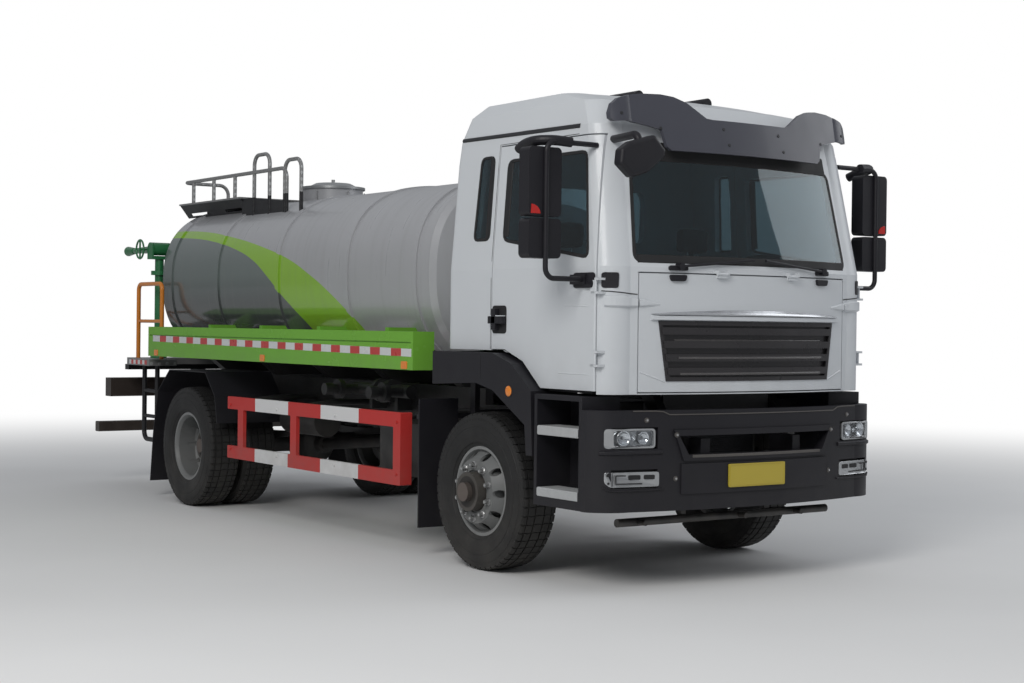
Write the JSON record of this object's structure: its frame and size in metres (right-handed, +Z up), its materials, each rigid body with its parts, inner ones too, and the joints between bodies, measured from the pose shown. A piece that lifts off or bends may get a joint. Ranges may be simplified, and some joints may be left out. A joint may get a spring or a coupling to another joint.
{
  "type": "tanker truck",
  "caption": "Two-axle water tanker truck with a tilting cab, an oval tank, side guards, a rear working deck and a water cannon.",
  "frame": {"origin": "on the ground at the middle of the whole outline", "axes": "+X to the vehicle's left, +Y to its rear, +Z up; the front faces -Y"},
  "size_m": [3.08, 8.237, 3.1758],
  "materials": {
    "cab_paint": "cool white gloss paint",
    "black_plastic": "grained black plastic",
    "visor_plastic": "dark anthracite",
    "grille_plastic": "dark taupe with silver trim",
    "chassis_paint": "black chassis paint",
    "axle_iron": "black iron",
    "engine_iron": "dark grey iron",
    "glass_tint": "tinted glass",
    "lamp_clear": "clear lamp lens",
    "lamp_red": "red lamp lens",
    "interior": "dark grey trim",
    "seat_fabric": "dark fabric",
    "rim_steel": "silver grey paint",
    "tyre": "black rubber",
    "tank_steel": "satin silver grey with a green swoosh",
    "skirt_paint": "bright green gloss paint",
    "guard_paint": "red and white bands",
    "deck_plate": "chequered plate",
    "rail_orange": "orange paint",
    "cannon_green": "green paint",
    "pipe_grey": "grey paint",
    "alloy": "plain aluminium",
    "beam_paint": "dark brown grey paint"
  },
  "bodies": {
    "chassis": {"frame_rails": "chassis_paint", "cross_members": "chassis_paint", "front_axle": "axle_iron", "rear_axle": "axle_iron", "engine": "engine_iron", "fuel_tank": "alloy", "battery_box": "chassis_paint", "air_tanks": "chassis_paint", "front_bumper": "black_plastic", "front_lamps": "lamp_clear", "spray_bar": "chassis_paint", "steps": "black_plastic", "front_fenders": "black_plastic", "tank": "tank_steel", "subframe": "chassis_paint", "top_walkway": "pipe_grey", "rear_deck": "deck_plate", "deck_rails": "rail_orange", "cannon_standpipe": "cannon_green", "rear_beams": "beam_paint", "tail_lamps": "lamp_red", "water_pipes": "pipe_grey", "skirts": "skirt_paint", "side_guards": "guard_paint", "guard_brackets": "chassis_paint", "rear_mudguards": "black_plastic"},
    "cab": {"cab_shell": "cab_paint", "cab_floor": "chassis_paint", "windshield": "glass_tint", "cab_windows": "glass_tint", "sun_visor": "visor_plastic", "cab_fittings": "black_plastic", "dashboard": "interior", "seats": "seat_fabric"},
    "front_flap": {"front_flap": "cab_paint", "grille": "grille_plastic"},
    "manhole_lid": {"manhole_lid": "tank_steel"},
    "tie_rod": {"tie_rod": "axle_iron"},
    "cannon_head": {"cannon_head": "cannon_green"},
    "cannon_barrel": {"cannon_barrel": "cannon_green"},
    "door_left": {"door_left": "cab_paint", "door_glass_left": "glass_tint", "mirror_left": "black_plastic"},
    "knuckle_left": {"knuckle_left": "axle_iron"},
    "wheel_front_left": {"rim_front_left": "rim_steel", "tyre_front_left": "tyre"},
    "wheels_rear_left": {"rims_rear_left": "rim_steel", "tyres_rear_left": "tyre"},
    "door_right": {"door_right": "cab_paint", "door_glass_right": "glass_tint", "mirror_right": "black_plastic"},
    "knuckle_right": {"knuckle_right": "axle_iron"},
    "wheel_front_right": {"rim_front_right": "rim_steel", "tyre_front_right": "tyre"},
    "wheels_rear_right": {"rims_rear_right": "rim_steel", "tyres_rear_right": "tyre"}
  },
  "joints": [
    {"name": "cab_tilt", "type": "hinge", "parent": "chassis", "child": "cab", "pos_m": [0, -3.8615, 0.85], "axis": [1, 0, 0], "range_deg": [0, 50]},
    {"name": "front_flap_lift", "type": "hinge", "parent": "cab", "child": "front_flap", "pos_m": [0, -4.0585, 1.948], "axis": [-1, 0, 0], "range_deg": [0, 75]},
    {"name": "manhole_lid_lift", "type": "hinge", "parent": "chassis", "child": "manhole_lid", "pos_m": [0, 1.8085, 2.826], "axis": [-1, 0, 0], "range_deg": [0, 100]},
    {"name": "cannon_slew", "type": "hinge", "parent": "chassis", "child": "cannon_head", "pos_m": [-0.88, 3.2985, 2.08], "axis": [0, 0, 1], "range_deg": [-80, 100]},
    {"name": "cannon_elevation", "type": "hinge", "parent": "cannon_head", "child": "cannon_barrel", "pos_m": [-0.88, 3.2985, 2.31], "axis": [1, 0, 0], "range_deg": [-15, 60]},
    {"name": "door_left_swing", "type": "hinge", "parent": "cab", "child": "door_left", "pos_m": [1.131, -3.8425, 1.98], "axis": [0, 0, -1], "range_deg": [0, 70]},
    {"name": "steer_left", "type": "hinge", "parent": "chassis", "child": "knuckle_left", "pos_m": [0.92, -2.6615, 0.522], "axis": [0, 0, 1], "range_deg": [-35, 35]},
    {"name": "wheel_front_left_spin", "type": "hinge", "parent": "knuckle_left", "child": "wheel_front_left", "pos_m": [1.035, -2.6615, 0.522], "axis": [1, 0, 0], "continuous": true},
    {"name": "wheels_rear_left_spin", "type": "hinge", "parent": "chassis", "child": "wheels_rear_left", "pos_m": [1.1, 1.8385, 0.522], "axis": [1, 0, 0], "continuous": true},
    {"name": "door_right_swing", "type": "hinge", "parent": "cab", "child": "door_right", "pos_m": [-1.131, -3.8425, 1.98], "axis": [0, 0, 1], "range_deg": [0, 70]},
    {"name": "steer_right", "type": "hinge", "parent": "chassis", "child": "knuckle_right", "pos_m": [-0.92, -2.6615, 0.522], "axis": [0, 0, 1], "range_deg": [-35, 35]},
    {"name": "wheel_front_right_spin", "type": "hinge", "parent": "knuckle_right", "child": "wheel_front_right", "pos_m": [-1.035, -2.6615, 0.522], "axis": [1, 0, 0], "continuous": true},
    {"name": "wheels_rear_right_spin", "type": "hinge", "parent": "chassis", "child": "wheels_rear_right", "pos_m": [-1.1, 1.8385, 0.522], "axis": [1, 0, 0], "continuous": true},
    {"name": "tie_rod_follow", "type": "hinge", "parent": "knuckle_left", "child": "tie_rod", "pos_m": [0.92, -2.4935, 0.417], "axis": [0, 0, 1], "range_deg": [-35, 35]}
  ],
  "couplings": [
    {"joint": "steer_right", "follows": "steer_left", "ratio": 1},
    {"joint": "tie_rod_follow", "follows": "steer_left", "ratio": -1}
  ]
}
